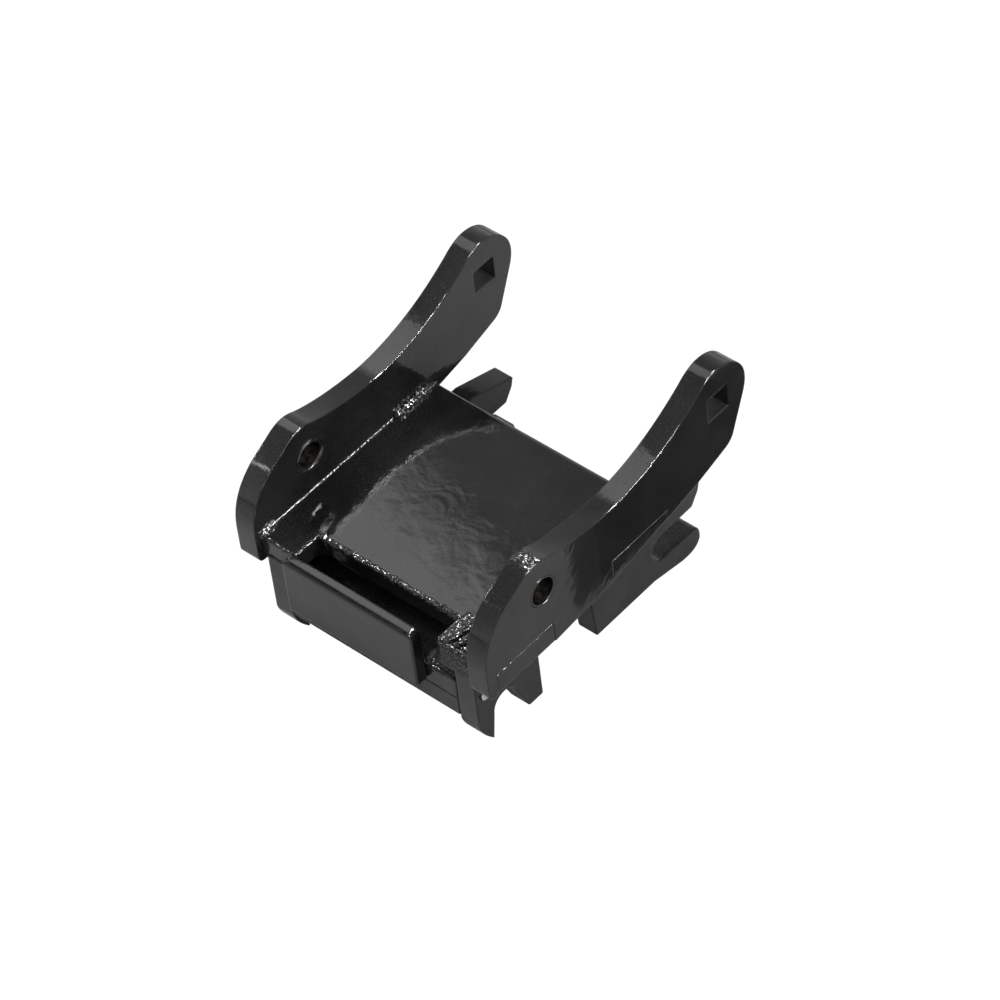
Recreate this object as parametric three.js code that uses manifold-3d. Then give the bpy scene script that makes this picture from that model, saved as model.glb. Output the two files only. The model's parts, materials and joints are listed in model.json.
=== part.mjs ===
// Quick coupler for a small excavator: a welded frame of heavy plate with a screw-driven lock.
// Millimetres. X runs across, Y from the front jaws to the rear hooks, Z up from the floor.
import * as THREE from "three";
import { mergeVertices } from "three/addons/utils/BufferGeometryUtils.js";
import Module from "manifold-3d";

const wasm = await Module();
wasm.setup();

// Driving dimensions
const PLATE = 25; // thickness of every heavy plate
const INNER_WIDTH = 276; // between the two side plates
const GAP = 0.3; // left between pieces that touch
const FIT = 0.5; // running clearance of moving pieces
const DECK_TOP = 132;
const DECK_UNDERSIDE = DECK_TOP - PLATE;
const FRONT = -189; // front faces of jaws, deck and shelf
const DECK_REAR = 72;
const GUARD_PLATE = 15; // thickness of the plate across the front

const PIN = 30; // every attachment pin and arm pin
const SLOT = PIN + 2; // hook slots and jaw notches
const BUSH_WALL = 2.5;
const PIVOT = { y: -110, z: 178 }; // arm pin through the bushes
const SOCKET = { y: 155, z: 211, side: PIN }; // square sockets in the horns
const JAW_PIN = { y: -150, z: 34 }; // front attachment pin when seated
const HOOK_PIN = { y: 89, z: 46 }; // rear attachment pin when seated

const SIDE_INNER = INNER_WIDTH / 2;
const SIDE_OUTER = SIDE_INNER + PLATE;
const RIB_OUTER = SIDE_INNER - 3.5; // outer faces of jaws and hooks
const RIB_INNER = RIB_OUTER - PLATE;

const WINDOW = { half: 92, rear: -155, radius: 10 }; // opening in the deck's front edge
const TENONS = [
  { front: -184, rear: -101, drop: 8 }, // set low, flush with the side plate's lower edge
  { front: -12, rear: 71, drop: 0 },
];

const SHELF = { z: 59, top: 84, rear: -139.5 };
const LIP = { z: 34, rear: -166 };
const GUARD = { left: -97, right: 72, z: 64, top: 137, round: 5, corner: 7 };
const DOWEL = { y: -177, z: 72, radius: 6, depth: 14, proud: 3 };

const SCREW = { z: 60, radius: 9.6, front: -136.5, head: 49, headLength: 18, flats: 30 };
const CROSS_PLATE = { front: 25, rear: 45, z: 38 };
const WASHER = 3.4;
const COLLAR = { radius: 17, length: 8 };
const RUNNER = { half: 60, z: 80, top: 94, front: -92, rear: 8 };
const LEG = { half: 45, front: -89, rear: -59, z: 3, tip: -115, tipHeight: 3, bevelTop: 32 };
const RAIL = { inner: 50, outer: 78, z: 70, front: -100, rear: 20 };
const RAIL_BOLT = { x: 69, rows: [-80, 0], radius: 5, head: 8, headLength: 9.7, depth: 14 };
const NUT = { radius: 15, flange: 18, flangeLength: 6.4 };
const ROUND = 48; // facets of a full circle

const paint = { color: 0x101113, roughness: 0.22, metalness: 0.1 };
const plated = { color: 0xc9ccd0, roughness: 0.25, metalness: 1.0 };
const bronze = { color: 0xb07a45, roughness: 0.4, metalness: 1.0 };
const steel = { color: 0x6f7276, roughness: 0.45, metalness: 0.9 };
const oxide = { color: 0x2a2b2d, roughness: 0.5, metalness: 0.7 };

const coupler = new THREE.Group();
const assembly = new THREE.Group();
coupler.add(assembly);

function addPart(name, geometry, finish) {
  const mesh = new THREE.Mesh(geometry, new THREE.MeshStandardMaterial(finish));
  mesh.name = name;
  assembly.add(mesh);
  return mesh;
}

// Solids

function toSolid(geometry) {
  const bare = geometry.clone();
  bare.deleteAttribute("normal");
  bare.deleteAttribute("uv");
  const merged = mergeVertices(bare, 1e-4);
  return new wasm.Manifold(new wasm.Mesh({
    numProp: 3,
    vertProperties: new Float32Array(merged.attributes.position.array),
    triVerts: new Uint32Array(merged.index.array),
  }));
}

function toGeometry(solid) {
  const mesh = solid.getMesh();
  const geometry = new THREE.BufferGeometry();
  geometry.setAttribute("position", new THREE.BufferAttribute(mesh.vertProperties, 3));
  geometry.setIndex(new THREE.BufferAttribute(mesh.triVerts, 1));
  geometry.computeVertexNormals();
  return geometry;
}

function cut(body, ...tools) {
  return toGeometry(tools.reduce((rest, tool) => rest.subtract(toSolid(tool)), toSolid(body)));
}

function join(body, ...others) {
  return toGeometry(others.reduce((sum, other) => sum.add(toSolid(other)), toSolid(body)));
}

function block([x0, x1], [y0, y1], [z0, z1]) {
  const geometry = new THREE.BoxGeometry(x1 - x0, y1 - y0, z1 - z0);
  return geometry.translate((x0 + x1) / 2, (y0 + y1) / 2, (z0 + z1) / 2);
}

// A plate whose outline is drawn in (Y, Z), from x0 to x1.
function sidePlateOf(shape, x0, x1, curveSegments = 12) {
  const geometry = new THREE.ExtrudeGeometry(shape, {
    depth: x1 - x0,
    bevelEnabled: false,
    curveSegments,
  });
  geometry.rotateX(Math.PI / 2);
  geometry.rotateZ(Math.PI / 2);
  return geometry.translate(x0, 0, 0);
}

function rodAlongX(x0, x1, y, z, radius, facets = ROUND) {
  const geometry = new THREE.CylinderGeometry(radius, radius, x1 - x0, facets);
  geometry.rotateZ(Math.PI / 2);
  return geometry.translate((x0 + x1) / 2, y, z);
}

function rodAlongY(y0, y1, x, z, radius, facets = ROUND) {
  const geometry = new THREE.CylinderGeometry(radius, radius, y1 - y0, facets);
  return geometry.translate(x, (y0 + y1) / 2, z);
}

function rodAlongZ(z0, z1, x, y, radius, facets = 24) {
  const geometry = new THREE.CylinderGeometry(radius, radius, z1 - z0, facets);
  geometry.rotateX(Math.PI / 2);
  return geometry.translate(x, y, (z0 + z1) / 2);
}

// Both ends of an X interval, mirrored for the left side.
function span(side, inner, outer) {
  return side > 0 ? [inner, outer] : [-outer, -inner];
}

// Side plates

function sideOutline() {
  const shape = new THREE.Shape();
  const frontFoot = DECK_UNDERSIDE - 10;
  shape.moveTo(-188, frontFoot);
  shape.lineTo(-100, frontFoot + 1);
  shape.lineTo(-15, DECK_UNDERSIDE - 2);
  shape.lineTo(115, 130);
  shape.lineTo(160, 143);
  shape.quadraticCurveTo(170, 146, 174, 154);
  shape.lineTo(192, 194);
  shape.quadraticCurveTo(204.4, 221, 188, 241);
  shape.quadraticCurveTo(174, 258, 152, 256);
  shape.quadraticCurveTo(140, 254, 128, 245);
  shape.quadraticCurveTo(64, 204, -4, 201);
  shape.quadraticCurveTo(-60, 202, -100, 216);
  shape.quadraticCurveTo(-117, 225, -134, 216);
  shape.lineTo(-160, 202);
  shape.quadraticCurveTo(-197, 179, -197, 135);
  shape.lineTo(-197, frontFoot + 10);
  shape.quadraticCurveTo(-197, frontFoot, -188, frontFoot);
  return shape;
}

function sidePlate(side) {
  const [x0, x1] = span(side, SIDE_INNER, SIDE_OUTER);
  const through = [x0 - 1, x1 + 1];
  const mortises = TENONS.map(({ front, rear, drop }) =>
    block(through, [front - GAP, rear + GAP], [DECK_UNDERSIDE - 20, DECK_TOP - drop + GAP]));
  const half = SOCKET.side / 2;
  const socket = block(
    through,
    [SOCKET.y - half, SOCKET.y + half],
    [SOCKET.z - half, SOCKET.z + half],
  );
  const bore = rodAlongX(...through, PIVOT.y, PIVOT.z, PIN / 2 + BUSH_WALL);
  return cut(sidePlateOf(sideOutline(), x0, x1), ...mortises, socket, bore);
}

function pinBush(side) {
  const [x0, x1] = span(side, SIDE_INNER, SIDE_OUTER);
  const shell = rodAlongX(x0, x1, PIVOT.y, PIVOT.z, PIN / 2 + BUSH_WALL - GAP);
  return cut(shell, rodAlongX(x0 - 1, x1 + 1, PIVOT.y, PIVOT.z, PIN / 2));
}

// Deck: a plate with a rounded rear edge, a window in front and four tenons.

function deckProfile() {
  const rearRound = 9;
  const shape = new THREE.Shape();
  shape.moveTo(FRONT, DECK_UNDERSIDE);
  shape.lineTo(DECK_REAR, DECK_UNDERSIDE);
  shape.lineTo(DECK_REAR, DECK_TOP - rearRound);
  shape.absarc(DECK_REAR - rearRound, DECK_TOP - rearRound, rearRound, 0, Math.PI / 2);
  shape.lineTo(FRONT, DECK_TOP);
  shape.closePath();
  return shape;
}

function deckWindow() {
  const { half, rear, radius } = WINDOW;
  const shape = new THREE.Shape();
  shape.moveTo(-half, FRONT - 5);
  shape.lineTo(half, FRONT - 5);
  shape.lineTo(half, rear - radius);
  shape.absarc(half - radius, rear - radius, radius, 0, Math.PI / 2);
  shape.absarc(radius - half, rear - radius, radius, Math.PI / 2, Math.PI);
  shape.closePath();
  const geometry = new THREE.ExtrudeGeometry(shape, { depth: PLATE + 2, bevelEnabled: false });
  return geometry.translate(0, 0, DECK_UNDERSIDE - 1);
}

function deckTenon(side, { front, rear, drop }) {
  const heights = [DECK_UNDERSIDE - drop, DECK_TOP - drop];
  const tab = block(span(side, SIDE_INNER + GAP, SIDE_OUTER - GAP), [front, rear], heights);
  const root = block(span(side, SIDE_INNER - 2, SIDE_INNER + 1), [front, rear],
    [DECK_UNDERSIDE, DECK_TOP - drop]);
  const outline = sidePlateOf(sideOutline(), ...span(side, SIDE_INNER - 3, SIDE_OUTER));
  return toGeometry(toSolid(join(tab, root)).intersect(toSolid(outline)));
}

function deckPlate() {
  const slab = sidePlateOf(deckProfile(), GAP - SIDE_INNER, SIDE_INNER - GAP, 6);
  const threads = railBoltPlaces().map(({ x, y }) =>
    rodAlongZ(DECK_UNDERSIDE - 1, DECK_UNDERSIDE + RAIL_BOLT.depth + 1, x, y, RAIL_BOLT.radius + GAP));
  const tenons = [-1, 1].flatMap((side) => TENONS.map((tenon) => deckTenon(side, tenon)));
  return join(cut(slab, deckWindow(), ...threads), ...tenons);
}

// Jaws: the front pin sits in a notch that opens downwards.

function jawOutline() {
  const seat = SLOT / 2;
  const tooth = { tip: -171, rear: -98.5 };
  const shape = new THREE.Shape();
  shape.moveTo(FRONT, DECK_UNDERSIDE - GAP);
  shape.lineTo(FRONT, 32);
  shape.quadraticCurveTo(-187, 20, -176, 6);
  shape.lineTo(tooth.tip, 0);
  shape.lineTo(JAW_PIN.y - seat, JAW_PIN.z);
  shape.absarc(JAW_PIN.y, JAW_PIN.z, seat, Math.PI, 0, true);
  shape.lineTo(-119, 0);
  shape.lineTo(tooth.rear, 0);
  shape.lineTo(tooth.rear, DECK_UNDERSIDE - GAP);
  shape.closePath();
  return shape;
}

function jawPlate(side) {
  const [x0, x1] = span(side, RIB_INNER, RIB_OUTER);
  const plate = sidePlateOf(jawOutline(), x0, x1);
  return cut(plate, rodAlongX(x0 - 1, x1 + 1, DOWEL.y, DOWEL.z, DOWEL.radius + GAP, 24));
}

function jawDowel(side) {
  const [x0, x1] = span(side, RIB_INNER - DOWEL.depth, RIB_OUTER + DOWEL.proud);
  return rodAlongX(x0, x1, DOWEL.y, DOWEL.z, DOWEL.radius, 24);
}

// Hooks: the rear pin slides into a slot that opens rearwards.

function hookOutline() {
  const seat = SLOT / 2;
  const shape = new THREE.Shape();
  shape.moveTo(-24, DECK_UNDERSIDE - GAP);
  shape.lineTo(-16, 8);
  shape.lineTo(72, 8);
  shape.lineTo(116, 0);
  shape.lineTo(126, 0);
  shape.quadraticCurveTo(140, 1, 144, 12);
  shape.quadraticCurveTo(146, 30, 132, HOOK_PIN.z - seat);
  shape.lineTo(HOOK_PIN.y, HOOK_PIN.z - seat);
  shape.absarc(HOOK_PIN.y, HOOK_PIN.z, seat, -Math.PI / 2, Math.PI / 2, true);
  shape.lineTo(136, HOOK_PIN.z + seat);
  shape.lineTo(147, 77);
  shape.lineTo(150, 88);
  shape.lineTo(92, DECK_UNDERSIDE - GAP);
  shape.closePath();
  return shape;
}

function hookPlate(side) {
  return sidePlateOf(hookOutline(), ...span(side, RIB_INNER, RIB_OUTER));
}

// Front cross members, between the jaws

function frontShelf() {
  const half = RIB_INNER - GAP;
  const holes = [-1, 1].map((side) => {
    const [x0, x1] = span(side, half - DOWEL.depth, half + 1);
    return rodAlongX(x0, x1, DOWEL.y, DOWEL.z, DOWEL.radius + GAP, 24);
  });
  return cut(block([-half, half], [FRONT, SHELF.rear], [SHELF.z, SHELF.top]), ...holes);
}

function frontLip() {
  const half = RIB_INNER - GAP;
  return block([-half, half], [FRONT, LIP.rear], [LIP.z, SHELF.z - GAP]);
}

function guardProfile() {
  const rear = FRONT - GAP;
  const front = rear - GUARD_PLATE;
  const { z, top, round } = GUARD;
  const shape = new THREE.Shape();
  shape.moveTo(front, z);
  shape.lineTo(rear, z);
  shape.lineTo(rear, top - round);
  shape.absarc(rear - round, top - round, round, 0, Math.PI / 2);
  shape.absarc(front + round, top - round, round, Math.PI / 2, Math.PI);
  shape.closePath();
  return shape;
}

function guardFace() {
  const { left, right, z, top, corner } = GUARD;
  const shape = new THREE.Shape();
  shape.moveTo(left, z);
  shape.lineTo(right, z);
  shape.lineTo(right, top - corner);
  shape.absarc(right - corner, top - corner, corner, 0, Math.PI / 2);
  shape.absarc(left + corner, top - corner, corner, Math.PI / 2, Math.PI);
  shape.closePath();
  const depth = GUARD_PLATE + 4;
  const geometry = new THREE.ExtrudeGeometry(shape, { depth, bevelEnabled: false, curveSegments: 6 });
  geometry.rotateX(Math.PI / 2);
  return geometry.translate(0, FRONT + 2, 0);
}

function guardPlate() {
  const bar = toSolid(sidePlateOf(guardProfile(), GUARD.left, GUARD.right, 5));
  return toGeometry(bar.intersect(toSolid(guardFace())));
}

// Lock: a slide on two rails, moved along Y by a screw that turns in the cross plate.

function slideProfile() {
  const { front, rear, z, tip, tipHeight, bevelTop } = LEG;
  const shape = new THREE.Shape();
  shape.moveTo(tip, z);
  shape.lineTo(rear, z);
  shape.lineTo(rear, 34);
  shape.lineTo(-34, RUNNER.z + 1);
  shape.lineTo(front, RUNNER.z + 1);
  shape.lineTo(front, bevelTop);
  shape.lineTo(tip, z + tipHeight);
  shape.closePath();
  return shape;
}

function lockSlide() {
  const { half, z, top, front, rear } = RUNNER;
  const leg = sidePlateOf(slideProfile(), -LEG.half, LEG.half);
  const bore = rodAlongY(LEG.front - 1, LEG.rear + 30, 0, SCREW.z, NUT.radius + GAP);
  return cut(join(block([-half, half], [front, rear], [z, top]), leg), bore);
}

function slideNut() {
  const flangeRear = LEG.front - GAP;
  const flange = rodAlongY(flangeRear - NUT.flangeLength, flangeRear, 0, SCREW.z, NUT.flange);
  const barrel = rodAlongY(flangeRear - 1, LEG.rear, 0, SCREW.z, NUT.radius);
  const thread = rodAlongY(LEG.front - 20, LEG.rear + 5, 0, SCREW.z, SCREW.radius + FIT);
  return cut(join(flange, barrel), thread);
}

function guideRail(side) {
  const body = block(span(side, RAIL.inner, RAIL.outer), [RAIL.front, RAIL.rear],
    [RAIL.z, DECK_UNDERSIDE - GAP]);
  const groove = block(span(side, RAIL.inner - 1, RUNNER.half + FIT), [RAIL.front - 1, RAIL.rear + 1],
    [RUNNER.z - FIT, RUNNER.top + FIT]);
  const holes = RAIL_BOLT.rows.map((y) =>
    rodAlongZ(RAIL.z - 1, DECK_UNDERSIDE + 1, side * RAIL_BOLT.x, y, RAIL_BOLT.radius + GAP));
  return cut(body, groove, ...holes);
}

function railBoltPlaces() {
  return [-1, 1].flatMap((side) => RAIL_BOLT.rows.map((y) => ({ x: side * RAIL_BOLT.x, y })));
}

function railBolt({ x, y }) {
  const headTop = RAIL.z - GAP;
  const head = rodAlongZ(headTop - RAIL_BOLT.headLength, headTop, x, y, RAIL_BOLT.head);
  const shank = rodAlongZ(headTop - 1, DECK_UNDERSIDE + RAIL_BOLT.depth, x, y, RAIL_BOLT.radius);
  const socketRadius = 4.6;
  const socket = rodAlongZ(headTop - RAIL_BOLT.headLength - 1, headTop - 5, x, y, socketRadius, 6);
  return cut(join(head, shank), socket);
}

function crossPlate() {
  const half = RIB_INNER - GAP;
  const { front, rear, z } = CROSS_PLATE;
  const plate = block([-half, half], [front, rear], [z, DECK_UNDERSIDE - GAP]);
  return cut(plate, rodAlongY(front - 1, rear + 1, 0, SCREW.z, SCREW.radius + FIT));
}

function leadScrew() {
  const rod = rodAlongY(SCREW.front, SCREW.head + 1, 0, SCREW.z, SCREW.radius);
  const corner = SCREW.flats / Math.sqrt(3);
  const head = rodAlongY(SCREW.head, SCREW.head + SCREW.headLength, 0, SCREW.z, corner, 6);
  return join(rod, head);
}

// A flat ring on the screw from y0 to y1.
function ring(y0, y1, radius) {
  return cut(rodAlongY(y0, y1, 0, SCREW.z, radius),
    rodAlongY(y0 - 1, y1 + 1, 0, SCREW.z, SCREW.radius + FIT));
}

for (const [hand, side] of [["left", -1], ["right", 1]]) {
  addPart(`${hand}_side_plate`, sidePlate(side), paint);
  addPart(`${hand}_pin_bush`, pinBush(side), bronze);
  addPart(`${hand}_jaw_plate`, jawPlate(side), paint);
  addPart(`${hand}_jaw_dowel`, jawDowel(side), plated);
  addPart(`${hand}_hook_plate`, hookPlate(side), paint);
  addPart(`${hand}_guide_rail`, guideRail(side), paint);
}
addPart("deck_plate", deckPlate(), paint);
addPart("front_shelf_plate", frontShelf(), paint);
addPart("front_lip_bar", frontLip(), paint);
addPart("front_guard_plate", guardPlate(), paint);
addPart("screw_cross_plate", crossPlate(), paint);
addPart("lock_slide", lockSlide(), oxide);
addPart("slide_nut", slideNut(), bronze);
addPart("lead_screw", leadScrew(), steel);

const frontWasher = CROSS_PLATE.front - GAP - WASHER;
const collarRear = frontWasher - GAP;
addPart("thrust_collar", ring(collarRear - COLLAR.length, collarRear, COLLAR.radius), steel);
addPart("front_thrust_washer", ring(frontWasher, frontWasher + WASHER, COLLAR.radius), bronze);
const rearWasher = CROSS_PLATE.rear + GAP;
addPart("rear_thrust_washer", ring(rearWasher, rearWasher + WASHER, COLLAR.radius), bronze);

railBoltPlaces().forEach((place, index) => {
  addPart(`rail_bolt_${index + 1}`, railBolt(place), oxide);
});

// The origin lies on the floor, under the middle of the whole coupler.
const extent = new THREE.Box3().setFromObject(assembly);
assembly.position.y = -(extent.min.y + extent.max.y) / 2;

export default coupler;
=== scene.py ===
import json
import math
from collections import defaultdict

import bmesh
import bpy
from mathutils import Matrix, Vector, noise
from mathutils.bvhtree import BVHTree

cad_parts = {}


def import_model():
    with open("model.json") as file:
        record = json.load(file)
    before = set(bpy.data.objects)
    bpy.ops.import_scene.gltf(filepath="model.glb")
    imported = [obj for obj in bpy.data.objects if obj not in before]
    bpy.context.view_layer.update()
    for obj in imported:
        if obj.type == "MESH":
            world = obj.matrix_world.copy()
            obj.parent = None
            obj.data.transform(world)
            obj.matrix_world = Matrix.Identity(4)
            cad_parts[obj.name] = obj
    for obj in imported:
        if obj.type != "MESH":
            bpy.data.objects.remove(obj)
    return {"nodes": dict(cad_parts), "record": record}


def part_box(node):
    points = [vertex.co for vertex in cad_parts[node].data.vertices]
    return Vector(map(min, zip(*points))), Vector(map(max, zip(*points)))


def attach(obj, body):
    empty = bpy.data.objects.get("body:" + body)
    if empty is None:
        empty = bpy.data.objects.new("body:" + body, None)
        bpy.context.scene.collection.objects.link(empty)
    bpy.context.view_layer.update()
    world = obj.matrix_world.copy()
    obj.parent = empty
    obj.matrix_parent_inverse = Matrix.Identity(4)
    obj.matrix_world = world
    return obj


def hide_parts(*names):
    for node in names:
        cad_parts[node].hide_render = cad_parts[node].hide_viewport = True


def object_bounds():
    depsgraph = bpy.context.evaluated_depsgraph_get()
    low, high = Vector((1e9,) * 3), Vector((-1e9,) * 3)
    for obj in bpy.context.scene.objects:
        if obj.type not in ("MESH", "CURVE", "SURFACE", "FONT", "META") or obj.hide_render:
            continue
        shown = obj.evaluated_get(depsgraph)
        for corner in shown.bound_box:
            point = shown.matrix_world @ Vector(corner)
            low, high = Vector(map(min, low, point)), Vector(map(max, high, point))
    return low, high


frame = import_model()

CAD_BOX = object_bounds()
NODES = frame["nodes"]
MM = 0.001

# ---------------------------------------------------------------- places, read from the frame

PLATE_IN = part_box("right_side_plate")[0].x      # inner faces of the side plates, +-
PLATE_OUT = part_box("right_side_plate")[1].x
DECK_LO, DECK_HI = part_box("deck_plate")
DECK_TOP = DECK_HI.z
DECK_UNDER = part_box("right_jaw_plate")[1].z
DECK_FRONT = DECK_LO.y
DECK_REAR = DECK_HI.y
WINDOW_HALF = 92 * MM
WINDOW_REAR = DECK_FRONT + 34 * MM
SHELF_LO, SHELF_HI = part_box("front_shelf_plate")
GUARD_LO, GUARD_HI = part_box("front_guard_plate")
JAW_LO, JAW_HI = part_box("right_jaw_plate")
HOOK_LO, HOOK_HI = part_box("right_hook_plate")
CROSS_LO, CROSS_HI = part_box("screw_cross_plate")
SCREW_LO, SCREW_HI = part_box("lead_screw")
BUSH_LO, BUSH_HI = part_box("right_pin_bush")
TINE_WIDTH = PLATE_IN - WINDOW_HALF             # the deck beside its front window
TINE_MIDDLE = (PLATE_IN + WINDOW_HALF) / 2
SIDES = (("left", -1), ("right", 1))

OPENINGS = {o["name"]: o["box_m"] for o in frame["record"]["physics"]["openings"]}

FRAME_BODY = "frame"
SCREW_BODY = "screw"


# ---------------------------------------------------------------- material helpers

class Nodes:
    """A node tree that is built from left to right."""

    def __init__(self, name):
        self.material = bpy.data.materials.new(name)
        self.material.use_nodes = True
        self.tree = self.material.node_tree
        self.shader = self.tree.nodes["Principled BSDF"]
        self.place = self.add("ShaderNodeTexCoord").outputs["Object"]

    def add(self, kind, **settings):
        node = self.tree.nodes.new(kind)
        for key, value in settings.items():
            setattr(node, key, value)
        return node

    def link(self, a, b):
        self.tree.links.new(a, b)

    def noise(self, scale, detail=2.0, roughness=0.5, distortion=0.0, vector=None):
        node = self.add("ShaderNodeTexNoise")
        node.inputs["Scale"].default_value = scale
        node.inputs["Detail"].default_value = detail
        node.inputs["Roughness"].default_value = roughness
        node.inputs["Distortion"].default_value = distortion
        self.link(vector or self.place, node.inputs["Vector"])
        return node.outputs["Fac"]

    def ramp(self, source, stops):
        node = self.add("ShaderNodeValToRGB")
        ramp = node.color_ramp
        ramp.elements[0].position, ramp.elements[0].color = stops[0][0], (*stops[0][1], 1)
        ramp.elements[1].position, ramp.elements[1].color = stops[-1][0], (*stops[-1][1], 1)
        for position, colour in stops[1:-1]:
            ramp.elements.new(position).color = (*colour, 1)
        self.link(source, node.inputs["Fac"])
        return node.outputs["Color"]

    def span(self, source, low, high, start=0.3, end=0.7):
        node = self.add("ShaderNodeMapRange")
        node.inputs["From Min"].default_value = start
        node.inputs["From Max"].default_value = end
        node.inputs["To Min"].default_value = low
        node.inputs["To Max"].default_value = high
        self.link(source, node.inputs["Value"])
        return node.outputs["Result"]

    def math(self, operation, a, b):
        node = self.add("ShaderNodeMath", operation=operation)
        for socket, value in zip(node.inputs, (a, b)):
            if isinstance(value, (int, float)):
                socket.default_value = value
            else:
                self.link(value, socket)
        return node.outputs["Value"]

    def mix(self, factor, a, b):
        node = self.add("ShaderNodeMix", data_type="RGBA")
        self.link(factor, node.inputs["Factor"])
        for name, value in (("A", a), ("B", b)):
            socket = [s for s in node.inputs if s.name == name and s.type == "RGBA"][0]
            if isinstance(value, tuple):
                socket.default_value = (*value, 1)
            else:
                self.link(value, socket)
        return [s for s in node.outputs if s.type == "RGBA"][0]

    def bump(self, height, depth, strength=1.0, below=None):
        node = self.add("ShaderNodeBump")
        node.inputs["Strength"].default_value = strength
        node.inputs["Distance"].default_value = depth
        self.link(height, node.inputs["Height"])
        if below is not None:
            self.link(below, node.inputs["Normal"])
        return node.outputs["Normal"]

    def rounded(self, radius):
        node = self.add("ShaderNodeBevel")
        node.samples = 6
        node.inputs["Radius"].default_value = radius
        return node.outputs["Normal"]

    def edges(self, radius):
        """0 on flat faces, near 1 on edges that stand out or sink in."""
        node = self.add("ShaderNodeBevel")
        node.samples = 4
        node.inputs["Radius"].default_value = radius
        geometry = self.add("ShaderNodeNewGeometry")
        dot = self.add("ShaderNodeVectorMath", operation="DOT_PRODUCT")
        self.link(node.outputs["Normal"], dot.inputs[0])
        self.link(geometry.outputs["Normal"], dot.inputs[1])
        return self.span(dot.outputs["Value"], 1.0, 0.0, 0.86, 0.99)


# Orange peel, from broad sags to fine skin: noise scale, roughness and distortion, and depth.
PEEL = (
    (34, 0.5, 0.5, 0.46 * MM),
    (130, 0.5, 0.4, 0.10 * MM),
    (600, 0.55, 0.0, 0.016 * MM),
)
WELD_LUMPS = (180, 0.5, 0.8, 1.6 * MM)
PAINT_DARK = (0.0005, 0.0005, 0.0005)
PAINT_LIGHT = (0.0210, 0.0210, 0.0211)
RUBBED = (0.032, 0.031, 0.030)


def enamel(name, peel=1.0, lumps=0.0, matt=(0.055, 0.12), round_by=2.2 * MM, specular=0.5):
    """Thick glossy black enamel. peel scales the orange peel; lumps adds what shows through from a weld."""
    n = Nodes(name)
    s = n.shader
    s.inputs["IOR"].default_value = 1.45
    s.inputs["Specular IOR Level"].default_value = specular
    clouds = n.math("MULTIPLY", n.noise(9, 3, 0.6), 0.4)
    grain = n.math("MULTIPLY", n.noise(620, 3, 0.7), 0.6)
    tone = n.ramp(n.math("ADD", clouds, grain), [(0.36, PAINT_DARK), (0.64, PAINT_LIGHT)])
    worn = n.span(n.noise(70, 4, 0.65), 0.0, 1.0, 0.52, 0.72)
    rub = n.math("MULTIPLY", n.edges(1.6 * MM), worn)
    n.link(n.mix(rub, tone, RUBBED), s.inputs["Base Color"])
    n.link(n.span(n.noise(30, 5, 0.62), *matt), s.inputs["Roughness"])
    skin = n.rounded(round_by) if round_by else None
    for scale, rough, distortion, depth in PEEL:
        skin = n.bump(n.noise(scale, 2, rough, distortion), depth * peel, below=skin)
    if lumps:
        scale, rough, distortion, depth = WELD_LUMPS
        skin = n.bump(n.noise(scale, 2, rough, distortion), depth * lumps, below=skin)
    n.link(skin, s.inputs["Normal"])
    return n.material


def shaded_bronze():
    # bronze darkened far below its own colour, with a dark edge tint: painted shade inside the bushes' bores
    n = Nodes("bearing_bronze_painted_bore_shade")
    s = n.shader
    s.inputs["Metallic"].default_value = 1.0
    s.inputs["Specular Tint"].default_value = (0.25, 0.19, 0.14, 1)
    tone = n.ramp(n.noise(240, 4, 0.7), [(0.42, (0.005, 0.0048, 0.0046)), (0.66, (0.026, 0.022, 0.018))])
    n.link(tone, s.inputs["Base Color"])
    n.link(n.span(n.noise(140, 4, 0.6), 0.4, 0.6), s.inputs["Roughness"])
    n.link(n.bump(n.noise(700, 3, 0.6), 0.02 * MM), s.inputs["Normal"])
    return n.material


def zinc():
    n = Nodes("zinc_plating")
    s = n.shader
    s.inputs["Metallic"].default_value = 1.0
    tone = n.ramp(n.noise(180, 4, 0.6), [(0.3, (0.52, 0.53, 0.54)), (0.7, (0.80, 0.81, 0.82))])
    n.link(tone, s.inputs["Base Color"])
    n.link(n.span(n.noise(260, 4, 0.6), 0.14, 0.3), s.inputs["Roughness"])
    n.link(n.bump(n.noise(600, 3, 0.6), 0.03 * MM), s.inputs["Normal"])
    return n.material


def turned_steel(name, axis, tones, rough):
    """Steel with fine tool marks round an axis, and a light film of oil."""
    n = Nodes(name)
    s = n.shader
    s.inputs["Metallic"].default_value = 1.0
    film = n.noise(45, 4, 0.65)
    n.link(n.ramp(film, [(0.32, tones[0]), (0.68, tones[1])]), s.inputs["Base Color"])
    n.link(n.span(n.noise(110, 4, 0.6), *rough), s.inputs["Roughness"])
    marks = n.add("ShaderNodeTexWave", wave_type="BANDS", bands_direction=axis)
    marks.inputs["Scale"].default_value = 900
    marks.inputs["Distortion"].default_value = 0.6
    n.link(n.place, marks.inputs["Vector"])
    rings = n.bump(marks.outputs["Fac"], 0.006 * MM)
    n.link(n.bump(n.noise(500, 3, 0.6), 0.018 * MM, below=rings), s.inputs["Normal"])
    return n.material


ENAMEL = enamel("black_enamel")
ENAMEL_WELD = enamel("black_enamel_on_weld", peel=1.3, lumps=0.85, matt=(0.05, 0.09), round_by=None)
# a rougher, less reflective copy of the enamel for the sockets' walls: painted shade in the recesses
ENAMEL_SOCKET_SHADE = enamel("enamel_painted_socket_shade", peel=0.8, matt=(0.5, 0.65), specular=0.2)
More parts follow.
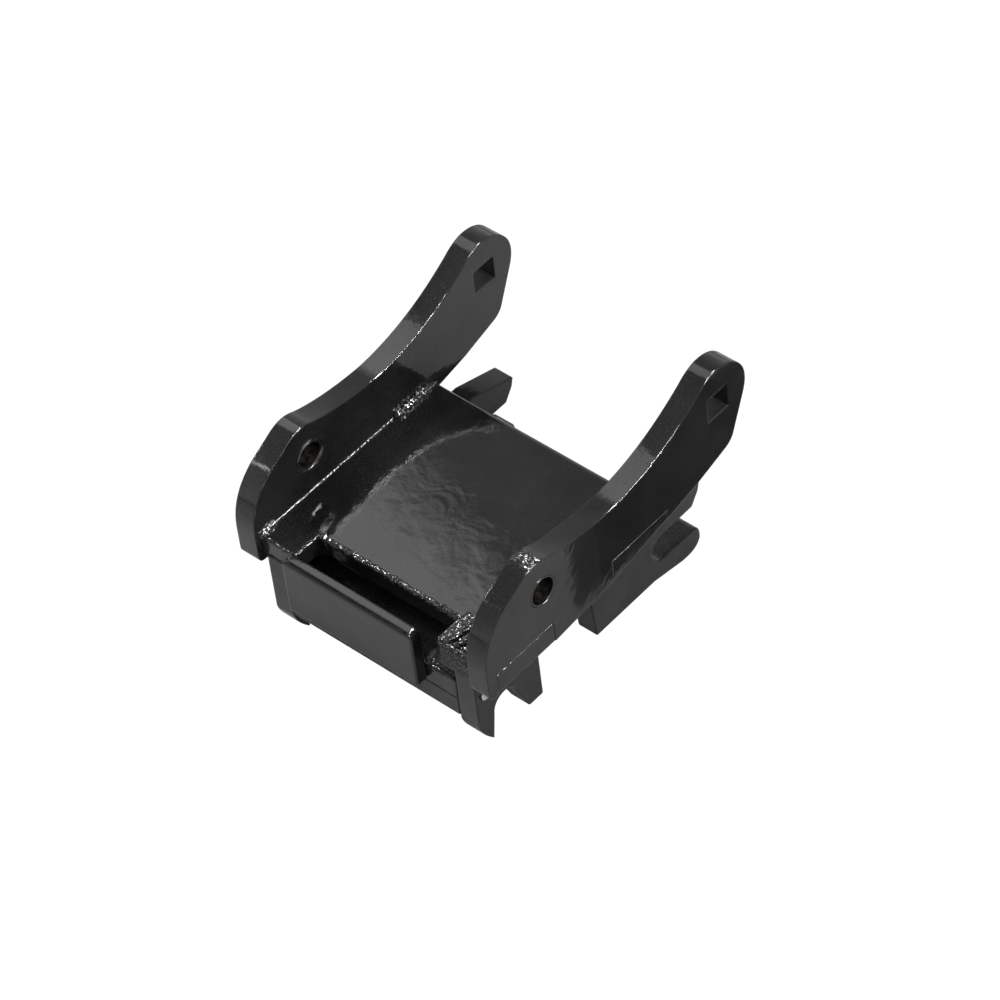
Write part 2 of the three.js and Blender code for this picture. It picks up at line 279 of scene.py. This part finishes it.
# a less reflective copy of the enamel for the jaws and hooks: painted shade near the floor
ENAMEL_SHADED_LOW = enamel("black_enamel_painted_shade_low_parts", specular=0.35)
BRONZE_SHADED = shaded_bronze()
ZINC = zinc()
STEEL = turned_steel("turned_steel", "Y", ((0.27, 0.27, 0.28), (0.47, 0.48, 0.49)), (0.2, 0.38))
OXIDE = turned_steel("black_oxide_steel", "X", ((0.035, 0.035, 0.038), (0.085, 0.085, 0.09)), (0.3, 0.48))


# ---------------------------------------------------------------- CAD nodes: rounded edges and finish

SHARP = math.radians(24)        # edges that fold less than this stay as they are
WELD_REACH = 0.02 * MM
FLAT_WITHIN = math.radians(0.6)


def corner_key(point):
    return tuple(round(c * 1e6) for c in point)


def edge_table(mesh):
    """(edge, folded angle, is it convex) for each edge of a mesh whose faces don't share their corners."""
    faces = defaultdict(list)
    for face in mesh.polygons:
        keys = [corner_key(mesh.vertices[v].co) for v in face.vertices]
        for a, b in zip(keys, keys[1:] + keys[:1]):
            faces[frozenset((a, b))].append(face)
    table = []
    for edge in mesh.edges:
        ends = [mesh.vertices[v].co for v in edge.vertices]
        beside = faces[frozenset(corner_key(p) for p in ends)]
        if len(beside) != 2:
            table.append((edge, 0.0, True))
            continue
        f, g = beside
        angle = f.normal.angle(g.normal, 0.0)
        table.append((edge, angle, (g.center - f.center).dot(f.normal) < 0))
    return table


def round_edges(obj, width, inner=0.4 * MM, fine=()):
    """Bevels the node's edges: outward ones by width, inward ones by inner, and those whose middle is in a
    fine box by that box's own width."""
    mesh = obj.data
    weights = mesh.attributes.get("bevel_weight_edge")
    if weights is None:
        weights = mesh.attributes.new("bevel_weight_edge", "FLOAT", "EDGE")
    values = [0.0] * len(mesh.edges)
    for edge, angle, convex in edge_table(mesh):
        if angle < SHARP:
            continue
        middle = sum((mesh.vertices[v].co for v in edge.vertices), Vector()) / 2
        reach = width if convex else inner
        for lo, hi, narrow in fine:
            if all(lo[i] <= middle[i] <= hi[i] for i in range(3)):
                reach = min(reach, narrow)
        values[edge.index] = reach / width
    weights.data.foreach_set("value", values)
    if "custom_normal" in mesh.attributes:
        mesh.attributes.remove(mesh.attributes["custom_normal"])
    mesh.polygons.foreach_set("use_smooth", [True] * len(mesh.polygons))
    weld = obj.modifiers.new("weld", "WELD")
    weld.merge_threshold = WELD_REACH
    flat = obj.modifiers.new("flat", "DECIMATE")
    flat.decimate_type = "DISSOLVE"
    flat.angle_limit = FLAT_WITHIN
    bevel = obj.modifiers.new("bevel", "BEVEL")
    bevel.limit_method = "WEIGHT"
    bevel.width = width
    bevel.segments = 3
    bevel.use_clamp_overlap = False
    bevel.harden_normals = True


# the painted nodes, with the width of their rounded edges in mm
PAINTED = {
    "left_side_plate": 0.5, "right_side_plate": 0.5, "left_jaw_plate": 1.6, "right_jaw_plate": 1.6,
    "left_hook_plate": 1.6, "right_hook_plate": 1.6, "left_guide_rail": 1.0, "right_guide_rail": 1.0,
    "deck_plate": 1.4, "front_shelf_plate": 1.4, "front_lip_bar": 1.4, "front_guard_plate": 2.0,
    "screw_cross_plate": 1.4,
}
# the deck's tenons, in the side plates' slots, keep sharper edges: box corners and width
DECK_FINE = [
    ((0.137, -0.2, 0.09), (0.2, 0.2, 0.14), 0.4 * MM),
    ((-0.2, -0.2, 0.09), (-0.137, 0.2, 0.14), 0.4 * MM),
]
SOCKET_MARGIN = 2 * MM


def finish_painted(name, width):
    node = NODES[name]
    fine = DECK_FINE if name == "deck_plate" else ()
    round_edges(node, width * MM, inner=min(width, 0.5) * MM, fine=fine)
    # jaws and hooks get the less reflective enamel: painted shade near the floor
    dress(node, ENAMEL_SHADED_LOW if "jaw" in name or "hook" in name else ENAMEL)
    if name.endswith("side_plate"):
        side = name.split("_")[0]
        paint_socket_shade(node, OPENINGS[f"{side}_horn_socket"])


def finish_metal(name):
    node = NODES[name]
    if "bush" in name or "washer" in name or name == "slide_nut":
        round_edges(node, 0.15 * MM, inner=0.1 * MM)
        dress(node, BRONZE_SHADED)
        if "bush" in name:
            paint_ends(node)
    elif "dowel" in name:
        round_edges(node, 0.8 * MM)
        dress(node, ZINC)
    elif name in ("lead_screw", "thrust_collar"):
        round_edges(node, 0.7 * MM)
        dress(node, STEEL)
    else:
        round_edges(node, 0.8 * MM, inner=0.3 * MM)
        dress(node, OXIDE)


def finish_nodes():
    for name, width in PAINTED.items():
        finish_painted(name, width)
    for name in NODES:
        if name not in PAINTED:
            finish_metal(name)


def paint_socket_shade(obj, opening):
    """The square sockets' walls get a rougher, less reflective copy of the enamel: painted shade in the
    recesses.
    """
    lo, hi = opening
    obj.data.materials.append(ENAMEL_SOCKET_SHADE)
    for face in obj.data.polygons:
        near = all(lo[i] - SOCKET_MARGIN <= face.center[i] <= hi[i] + SOCKET_MARGIN for i in range(3))
        if near and abs(face.normal.x) < 0.5:
            face.material_index = 1


def paint_ends(obj):
    """The bushes' end faces were painted with the plates."""
    obj.data.materials.append(ENAMEL)
    for face in obj.data.polygons:
        face.material_index = 1 if abs(face.normal.x) > 0.7 else 0


def dress(obj, material):
    obj.data.materials.clear()
    obj.data.materials.append(material)


# ---------------------------------------------------------------- weld beads

def new_piece(name, bm, material, body=FRAME_BODY):
    bmesh.ops.recalc_face_normals(bm, faces=bm.faces)
    mesh = bpy.data.meshes.new(name)
    bm.to_mesh(mesh)
    bm.free()
    mesh.polygons.foreach_set("use_smooth", [True] * len(mesh.polygons))
    obj = bpy.data.objects.new(name, mesh)
    bpy.context.scene.collection.objects.link(obj)
    dress(obj, material)
    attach(obj, body)
    return obj


def skin_rings(bm, rings):
    """Faces between neighbouring rings of corners, and a cap on each end."""
    for a, b in zip(rings, rings[1:]):
        for k in range(len(a)):
            j = (k + 1) % len(a)
            bm.faces.new((a[k], a[j], b[j], b[k]))
    bm.faces.new(rings[0])
    bm.faces.new(rings[-1])


def path_point(points, s):
    """The point at share s along a line through points, and the line's direction there."""
    lengths = [(b - a).length for a, b in zip(points, points[1:])]
    left = s * sum(lengths)
    for a, b, length in zip(points, points[1:], lengths):
        if left <= length or b is points[-1]:
            return a.lerp(b, min(left / length, 1.0)), (b - a).normalized()
        left -= length


BEAD_STEP = 0.55 * MM
BEAD_SIDES = 14


def bead(name, points, radius, rough=0.22, pitch=3.2 * MM, seed=0.0, finish=ENAMEL_WELD):
    """A weld bead with the ripples that each pass of the puddle leaves."""
    points = [Vector(p) for p in points]
    length = sum((b - a).length for a, b in zip(points, points[1:]))
    count = max(12, int(length / BEAD_STEP))
    bm = bmesh.new()
    rings = []
    for i in range(count + 1):
        s = i / count
        centre, along = path_point(points, s)
        side = along.orthogonal().normalized()
        other = along.cross(side)
        reach = s * length
        end = min(reach, length - reach)
        taper = math.sqrt(max(0.0, 1 - (1 - min(end / radius, 1.0)) ** 2)) * 0.97 + 0.03
        phase = (reach / pitch + 0.35 * noise.noise(Vector((reach * 60, seed, 0)))) % 1.0
        ripple = 1 - 0.2 * phase ** 1.6
        swell = 1 + 0.16 * noise.noise(Vector((reach * 90, seed + 5, 1)))
        drift = Vector([noise.noise(Vector((reach * 70, seed + 9, k))) for k in range(3)]) * radius * 0.22
        ring = []
        for k in range(BEAD_SIDES):
            a = 2 * math.pi * k / BEAD_SIDES
            out = side * math.cos(a) + other * math.sin(a)
            at = centre + out * radius
            knob = 1 + rough * noise.noise(at * 330 + Vector((seed, 0, 0)))
            ring.append(bm.verts.new(centre + drift + out * radius * taper * ripple * swell * knob))
        rings.append(ring)
    skin_rings(bm, rings)
    return new_piece(name, bm, finish)


def surface_of(node):
    mesh = NODES[node].data
    return BVHTree.FromPolygons([v.co for v in mesh.vertices], [list(f.vertices) for f in mesh.polygons])


def skin_pad(bm, top, low, nu, nv):
    """Faces over and under two grids of corners, and round their rim."""
    row = nv + 1
    for i in range(nu):
        for j in range(nv):
            q = (i * row + j, (i + 1) * row + j, (i + 1) * row + j + 1, i * row + j + 1)
            bm.faces.new([top[k] for k in q])
            bm.faces.new([low[k] for k in reversed(q)])
    border = list(range(row))
    border += [i * row + nv for i in range(1, nu + 1)]
    border += [nu * row + j for j in range(nv - 1, -1, -1)]
    border += [i * row for i in range(nu - 1, 0, -1)]
    for a, b in zip(border, border[1:] + border[:1]):
        bm.faces.new((top[a], low[a], low[b], top[b]))


PAD_ABOVE = 15 * MM     # the surface is looked for from this far above the patch
PAD_REACH = 40 * MM
PAD_SUNK = 0.8 * MM


def pad(name, node, corner, u, v, normal, height, steps, seed=0.0, rough=1.0, wave=3.4 * MM, rise=0.0):
    """A patch of laid weld metal: a low lumpy cushion on the node's surface below the patch spanned by u and
    v, rise thicker at v's far end."""
    corner, u, v, normal = Vector(corner), Vector(u), Vector(v), Vector(normal).normalized()
    nu, nv = (max(8, int(x.length / steps)) for x in (u, v))
    below = surface_of(node)
    bm = bmesh.new()
    top, low = [], []
    for i in range(nu + 1):
        for j in range(nv + 1):
            a, b = i / nu, j / nv
            stray = [0.06 * noise.noise(Vector((a * 5 + k * 20, b * 5, seed))) for k in range(2)]
            start = corner + u * (a + stray[0]) + v * (b + stray[1])
            hit, facing = below.ray_cast(start + normal * PAD_ABOVE, -normal, PAD_REACH)[:2]
            at = hit if hit is not None else start
            out = facing if hit is not None and facing.dot(normal) > 0 else normal
            out = (out + normal).normalized()
            edge = min(a, 1 - a, b, 1 - b) * min(nu, nv)
            rim = 1 - (1 - min(edge / 5, 1.0)) ** 2
            ripple = 0.5 + 0.5 * math.sin(2 * math.pi * a * u.length / wave + 1.5 * math.sin(b * 5 + seed))
            lump = noise.fractal(at * 330, 0.9, 2.1, 3)
            level = max(rim * (0.5 + 0.25 * ripple + 0.45 * rough * lump), 0.0)
            top.append(bm.verts.new(at + out * (height * level + rise * rim * b)))
            low.append(bm.verts.new(at - out * PAD_SUNK))
    skin_pad(bm, top, low, nu, nv)
    return new_piece(name, bm, ENAMEL_WELD)


def deck_welds(side, x):
    """Between the deck and one side plate: a thin fillet, a fat bead at its rear end and one underneath."""
    inner = x * PLATE_IN
    bead(f"weld_{side}_deck_fillet",
         [(inner, DECK_FRONT + 6 * MM, DECK_TOP), (inner, DECK_REAR - 60 * MM, DECK_TOP)],
         1.1 * MM, rough=0.12, pitch=5 * MM, seed=3 + x, finish=ENAMEL)
    beside, above = inner - x * 1 * MM, DECK_TOP + 1 * MM
    bead(f"weld_{side}_deck_rear",
         [(beside, DECK_REAR - 66 * MM, above), (beside, DECK_REAR - 9 * MM, above)],
         6.2 * MM, pitch=7 * MM, seed=11 + x)
    bead(f"weld_{side}_deck_under",
         [(inner, DECK_FRONT + 10 * MM, DECK_UNDER), (inner, DECK_REAR - 10 * MM, DECK_UNDER)],
         2.4 * MM, seed=17 + x)


def rib_welds(side, x):
    """Round the top of one side's jaw and hook plates, and at the ends of the cross members between them."""
    for part, lo, hi in (("jaw", JAW_LO, JAW_HI), ("hook", HOOK_LO, HOOK_HI)):
        rear = min(hi.y, DECK_REAR) - 4 * MM
        bead(f"weld_{side}_{part}_inner",
             [(x * lo.x, lo.y + 6 * MM, DECK_UNDER), (x * lo.x, rear, DECK_UNDER)],
             2.6 * MM, seed=23 + x)
        bead(f"weld_{side}_{part}_front",
             [(x * (lo.x + 2 * MM), lo.y, DECK_UNDER), (x * (hi.x - 2 * MM), lo.y, DECK_UNDER)],
             2.2 * MM, seed=27 + x)
    for part, lo, hi in (("shelf", SHELF_LO, SHELF_HI), ("cross", CROSS_LO, CROSS_HI)):
        bead(f"weld_{side}_{part}_end",
             [(x * hi.x, hi.y, lo.z + 3 * MM), (x * hi.x, hi.y, hi.z)],
             2.4 * MM, seed=31 + x)


def window_edge_weld(side, x):
    level = DECK_TOP - 0.6 * MM
    bead(f"weld_{side}_window_edge",
         [(x * WINDOW_HALF, WINDOW_REAR, level), (x * WINDOW_HALF, DECK_FRONT + 2 * MM, level)],
         2.0 * MM, seed=37 + x)


def front_welds():
    """The window's rear edge, the shelf's front edge and the weld metal laid on the shelf."""
    level = DECK_TOP - 0.8 * MM
    bead("weld_window_rear",
         [(-WINDOW_HALF, WINDOW_REAR, level), (WINDOW_HALF, WINDOW_REAR, level)],
         3.8 * MM, rough=0.6, seed=41)
    edge = SHELF_LO.y + 1 * MM
    bead("weld_shelf_front",
         [(GUARD_HI.x + 4 * MM, edge, SHELF_HI.z), (SHELF_HI.x - 2 * MM, edge, SHELF_HI.z)],
         2.6 * MM, rough=0.4, seed=43)
    pad("weld_shelf_patch", "front_shelf_plate",
        (GUARD_HI.x - 6 * MM, SHELF_LO.y + 2 * MM, SHELF_HI.z),
        (40 * MM, 0, 0), (0, 40 * MM, 0), (0, 0, 1),
        1.6 * MM, 0.7 * MM, seed=47, rough=1.3, rise=7 * MM)


def bump_weld():
    """The rough patch on top of the right side plate, over its pin bore."""
    bump_top = BUSH_HI.z + 24 * MM
    bump_middle = (BUSH_LO.y + BUSH_HI.y) / 2
    pad("weld_bump_patch", "right_side_plate",
        (PLATE_IN + 1 * MM, bump_middle - 16 * MM, bump_top),
        (PLATE_OUT - PLATE_IN - 2 * MM, 0, 0), (0, 21 * MM, 0), (0, 0, 1),
        1.2 * MM, 0.6 * MM, seed=49, rough=2.0)


def right_corner_welds():
    """The mass of weld metal on the deck's right front corner: two pads, three passes and beads round them."""
    pad("weld_right_tine", "deck_plate",
        (WINDOW_HALF - 1 * MM, DECK_FRONT + 1 * MM, DECK_TOP),
        (TINE_WIDTH, 0, 0), (0, 44 * MM, 0), (0, 0, 1),
        2.2 * MM, 0.7 * MM, seed=53, rough=0.9, wave=9 * MM)
    pad("weld_right_front", "deck_plate",
        (WINDOW_HALF + 1 * MM, DECK_FRONT, DECK_UNDER - 6 * MM),
        (TINE_WIDTH, 0, 0), (0, 0, 31 * MM), (0, -1, 0),
        3.4 * MM, 0.7 * MM, seed=61, rough=0.7)
    bead("weld_right_front_top",
         [(WINDOW_HALF + 6 * MM, DECK_FRONT, DECK_TOP - 1 * MM), (PLATE_IN, DECK_FRONT, DECK_TOP)],
         4.6 * MM, rough=0.45, seed=59)
    bead("weld_right_front_low",
         [(WINDOW_HALF + 14 * MM, DECK_FRONT + 1 * MM, DECK_TOP - 9 * MM),
          (PLATE_IN, DECK_FRONT + 1 * MM, DECK_TOP - 8 * MM)],
         5.2 * MM, rough=0.45, pitch=6 * MM, seed=63)
    for k, shift in enumerate((12, 22, 33)):
        bead(f"weld_right_pass_{k}",
             [(WINDOW_HALF + shift * MM, DECK_FRONT + 3 * MM, DECK_TOP + 1.2 * MM),
              (WINDOW_HALF + (shift + 8) * MM, DECK_FRONT + 46 * MM, DECK_TOP + 0.4 * MM)],
             3.4 * MM, rough=0.5, pitch=8 * MM, seed=83 + k)
    bead("weld_right_front_side",
         [(PLATE_IN, DECK_FRONT, DECK_UNDER), (PLATE_IN, DECK_FRONT, DECK_TOP + 8 * MM)],
         3.4 * MM, rough=0.45, seed=67)


def left_corner_welds():
    bead("weld_left_front_side",
         [(-PLATE_IN, DECK_FRONT - 3 * MM, DECK_TOP - 1 * MM),
          (-PLATE_IN, DECK_FRONT + 22 * MM, DECK_TOP + 1 * MM)],
         5.0 * MM, rough=0.3, pitch=7 * MM, seed=71)
    level = DECK_TOP - 1 * MM
    bead("weld_left_front_top",
         [(-TINE_MIDDLE - 14 * MM, DECK_FRONT, level), (-WINDOW_HALF - 8 * MM, DECK_FRONT, level)],
         2.8 * MM, rough=0.4, seed=73)


def make_welds():
    for side, x in SIDES:
        deck_welds(side, x)
        rib_welds(side, x)
        window_edge_weld(side, x)
    front_welds()
    bump_weld()
    right_corner_welds()
    left_corner_welds()


# ---------------------------------------------------------------- lead screw with its thread

SCREW_SIDES = 48
THREAD_STEP = 0.25 * MM
THREAD_MAJOR, THREAD_MINOR, THREAD_LEAD = 9.6 * MM, 7.4 * MM, 4 * MM
THREAD_RUN_OUT = 3 * MM
TIP_CHAMFER = 1.6 * MM
HEAD_ACROSS, HEAD_LENGTH = 30 * MM, 18 * MM
SHANK_LENGTH = 48 * MM          # plain round part below the head


def thread_radius(y, share):
    """The screw's radius at height y along it and share of a turn round it."""
    t = (y / THREAD_LEAD + share) % 1.0
    tooth = min(max((abs(t - 0.5) * 4 - 0.66) / 0.68, 0.0), 1.0)
    radius = THREAD_MAJOR - (THREAD_MAJOR - THREAD_MINOR) * tooth
    shank = SCREW_HI.y - HEAD_LENGTH - SHANK_LENGTH
    run_out = min(max((y - shank) / THREAD_RUN_OUT, 0.0), 1.0)
    radius = radius * (1 - run_out) + THREAD_MAJOR * run_out
    return min(radius, THREAD_MAJOR - TIP_CHAMFER + (y - SCREW_LO.y))


def hexagon_radius(share, limit):
    """The hexagon's radius at a share of a turn, its corners cut back to limit."""
    a = 2 * math.pi * share
    flat = (HEAD_ACROSS / 2) / math.cos((a % (math.pi / 3)) - math.pi / 6)
    return min(flat, limit)


def screw_ring(bm, y, radius_at):
    x, z = (SCREW_LO.x + SCREW_HI.x) / 2, (SCREW_LO.z + SCREW_HI.z) / 2
    ring = []
    for k in range(SCREW_SIDES):
        a = 2 * math.pi * k / SCREW_SIDES
        r = radius_at(k / SCREW_SIDES)
        ring.append(bm.verts.new((x + r * math.cos(a), y, z + r * math.sin(a))))
    return ring


def lead_screw():
    head = SCREW_HI.y - HEAD_LENGTH
    bm = bmesh.new()
    threaded = []
    y = SCREW_LO.y
    while y < head - 1e-9:
        threaded.append(screw_ring(bm, y, lambda share: thread_radius(y, share)))
        y += THREAD_STEP
    skin_rings(bm, threaded)
    corner = HEAD_ACROSS / math.sqrt(3)
    top = SCREW_HI.y
    levels = [(head - 0.5 * MM, 0.94), (head + 1.5 * MM, 1.0), (top - 2 * MM, 1.0), (top, 0.90)]
    hexagons = [screw_ring(bm, y, lambda share: hexagon_radius(share, corner * cut)) for y, cut in levels]
    skin_rings(bm, hexagons)
    screw = new_piece("lead_screw_threaded", bm, STEEL, SCREW_BODY)
    sharp = screw.modifiers.new("edges", "EDGE_SPLIT")
    sharp.split_angle = math.radians(28)
    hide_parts("lead_screw")


# ---------------------------------------------------------------- stage, light and camera

def stage_piece(name, bm, grey):
    """A matt grey object that isn't part of the coupler, and its shader."""
    mesh = bpy.data.meshes.new(name)
    bm.to_mesh(mesh)
    bm.free()
    obj = bpy.data.objects.new(name, mesh)
    bpy.context.scene.collection.objects.link(obj)
    material = bpy.data.materials.new(name)
    material.use_nodes = True
    shader = material.node_tree.nodes["Principled BSDF"]
    shader.inputs["Base Color"].default_value = (grey, grey, grey, 1)
    shader.inputs["Roughness"].default_value = 0.9
    mesh.materials.append(material)
    return obj, shader


def sheet_of_light(name, drop, albedo, glow, camera_sees):
    """A pale floor. What the camera sees and what lights and mirrors in the part are two sheets."""
    bm = bmesh.new()
    bmesh.ops.create_grid(bm, x_segments=8, y_segments=8, size=FLOOR_REACH)
    obj, shader = stage_piece(name, bm, albedo)
    obj.location.z = CAD_BOX[0].z - drop
    shader.inputs["Specular IOR Level"].default_value = 0.0
    shader.inputs["Emission Color"].default_value = (1, 1, 1, 1)
    shader.inputs["Emission Strength"].default_value = glow
    obj.visible_camera = camera_sees
    obj.visible_glossy = not camera_sees
    obj.visible_diffuse = not camera_sees
    obj.visible_shadow = not camera_sees


FLOOR_REACH = 6.0


def floor():
    sheet_of_light("floor", 0.3 * MM, 0.2, 0.93, True)
    sheet_of_light("floor_in_reflections", 0.2 * MM, 0.46, 0.06, False)


LIGHT_DISTANCE = 2.2
MIDDLE = Vector((0, 0, 0.1))
UP = (0, 0, 1)
REARWARDS = (0, 1, 0)


def softbox(name, direction, size, radiance, along=UP, aim=MIDDLE, distance=LIGHT_DISTANCE,
            mirrored=True, lights=True):
    """A flat rectangle of light seen from aim along direction, as bright as radiance where it is reflected. Its
    first side lies in the plane of direction and along. mirrored=False keeps it out of reflections, and
    lights=False makes it light no matt surface."""
    lamp = bpy.data.lights.new(name, "AREA")
    lamp.shape = "RECTANGLE"
    lamp.size, lamp.size_y = size
    lamp.energy = radiance * math.pi * size[0] * size[1]
    obj = bpy.data.objects.new(name, lamp)
    away = Vector(direction).normalized()
    first = (Vector(along) - away * away.dot(Vector(along))).normalized()
    turned = Matrix((first, away.cross(first), away)).transposed().to_4x4()
    obj.matrix_world = Matrix.Translation(aim + away * distance) @ turned
    obj.visible_glossy = mirrored
    obj.visible_diffuse = lights
    bpy.context.scene.collection.objects.link(obj)


CARD_ACROSS, CARD_HEIGHT = 0.235, 0.15


def card(name, front, rear, grey):
    """A dark card standing right of the part, out of the picture, that only shows in reflections."""
    bm = bmesh.new()
    corners = [(CARD_ACROSS, front, 0.0), (CARD_ACROSS, rear, 0.0),
               (CARD_ACROSS, rear, CARD_HEIGHT), (CARD_ACROSS, front, CARD_HEIGHT)]
    bm.faces.new([bm.verts.new(c) for c in corners])
    obj = stage_piece(name, bm, grey)[0]
    obj.visible_camera = False
    obj.visible_diffuse = False
    obj.visible_shadow = False


def world():
    """Even light that is paler towards the horizon."""
    made = bpy.data.worlds.new("studio")
    made.use_nodes = True
    tree = made.node_tree
    place = tree.nodes.new("ShaderNodeTexCoord")
    split = tree.nodes.new("ShaderNodeSeparateXYZ")
    ramp = tree.nodes.new("ShaderNodeValToRGB")
    tree.links.new(place.outputs["Generated"], split.inputs[0])
    tree.links.new(split.outputs["Z"], ramp.inputs["Fac"])
    tree.links.new(ramp.outputs["Color"], tree.nodes["Background"].inputs["Color"])
    low, high = ramp.color_ramp.elements
    low.position, low.color = 0.05, (0.95, 0.95, 0.95, 1)
    high.position, high.color = 0.7, (0.5, 0.5, 0.5, 1)
    bpy.context.scene.world = made


DECK_MIRRORS = Vector((-0.498, 0.472, 0.728))    # where the deck's reflections come from
DECK_LIGHT_FROM = -52 * MM                       # the deck is darker behind this place
DECK_LIGHT_LONG = 0.5
DECK_LIGHT_STEPS = (-0.06, -0.03, 0.0)           # three sheets of light end one after another


def deck_lights():
    """The bright reflection on the front of the deck, which fades towards the rear."""
    aim = (DECK_LO + DECK_HI) / 2
    aim.y = DECK_LIGHT_FROM
    aim.z = DECK_TOP
    rearwards = (Vector(REARWARDS) - DECK_MIRRORS * DECK_MIRRORS.y).normalized()
    for k, step in enumerate(DECK_LIGHT_STEPS):
        softbox(f"softbox_deck_{k}", DECK_MIRRORS, (DECK_LIGHT_LONG + step, 1.0), 0.66, along=REARWARDS,
                aim=aim + rearwards * (step - DECK_LIGHT_LONG) / 2, distance=1.1)


def studio():
    world()
    card("flag_grey", 0.005, 0.045, 0.28)
    card("flag_dark", 0.045, 0.75, 0.10)
    deck_lights()
    softbox("softbox_right", (0.83, 0.1, 0.6), (0.3, 0.3), 110)
    softbox("softbox_top_left", (-0.5, -0.16, 0.85), (0.13, 0.34), 120, mirrored=False)
    softbox("softbox_front_left", (-0.498, -0.5465, 0.674), (0.08, 0.4), 9, lights=False)
    softbox("strip_right", (0.78, 0.2, 0.58), (1.3, 0.16), 420, along=REARWARDS, lights=False)
    softbox("strip_rear", (0.02, 0.42, 0.91), (0.3, 0.36), 260, along=REARWARDS, lights=False)
    softbox("softbox_left", (-0.85, -0.3, 0.45), (0.2, 0.2), 90)


CAMERA_AZIMUTH, CAMERA_ELEVATION, CAMERA_ROLL = (math.radians(x) for x in (46.54, 46.695, -7.638))
CAMERA_TARGET = Vector((-0.0006, 0.0091, 0.1))
CAMERA_DISTANCE = 4.8968
CAMERA_LENS = 178.98


def camera():
    data = bpy.data.cameras.new("camera")
    data.sensor_width = 36
    data.lens = CAMERA_LENS
    data.clip_end = 100
    back = Vector((math.sin(CAMERA_AZIMUTH) * math.cos(CAMERA_ELEVATION),
                   -math.cos(CAMERA_AZIMUTH) * math.cos(CAMERA_ELEVATION),
                   math.sin(CAMERA_ELEVATION)))
    level = Vector(UP).cross(back).normalized()
    upright = back.cross(level)
    right = level * math.cos(CAMERA_ROLL) + upright * math.sin(CAMERA_ROLL)
    turned = Matrix((right, back.cross(right), back)).transposed().to_4x4()
    obj = bpy.data.objects.new("camera", data)
    obj.matrix_world = Matrix.Translation(CAMERA_TARGET + back * CAMERA_DISTANCE) @ turned
    bpy.context.scene.collection.objects.link(obj)
    bpy.context.scene.camera = obj


camera()
finish_nodes()
make_welds()
lead_screw()
floor()
studio()
bpy.context.scene.view_settings.view_transform = "Standard"

bpy.context.view_layer.update()
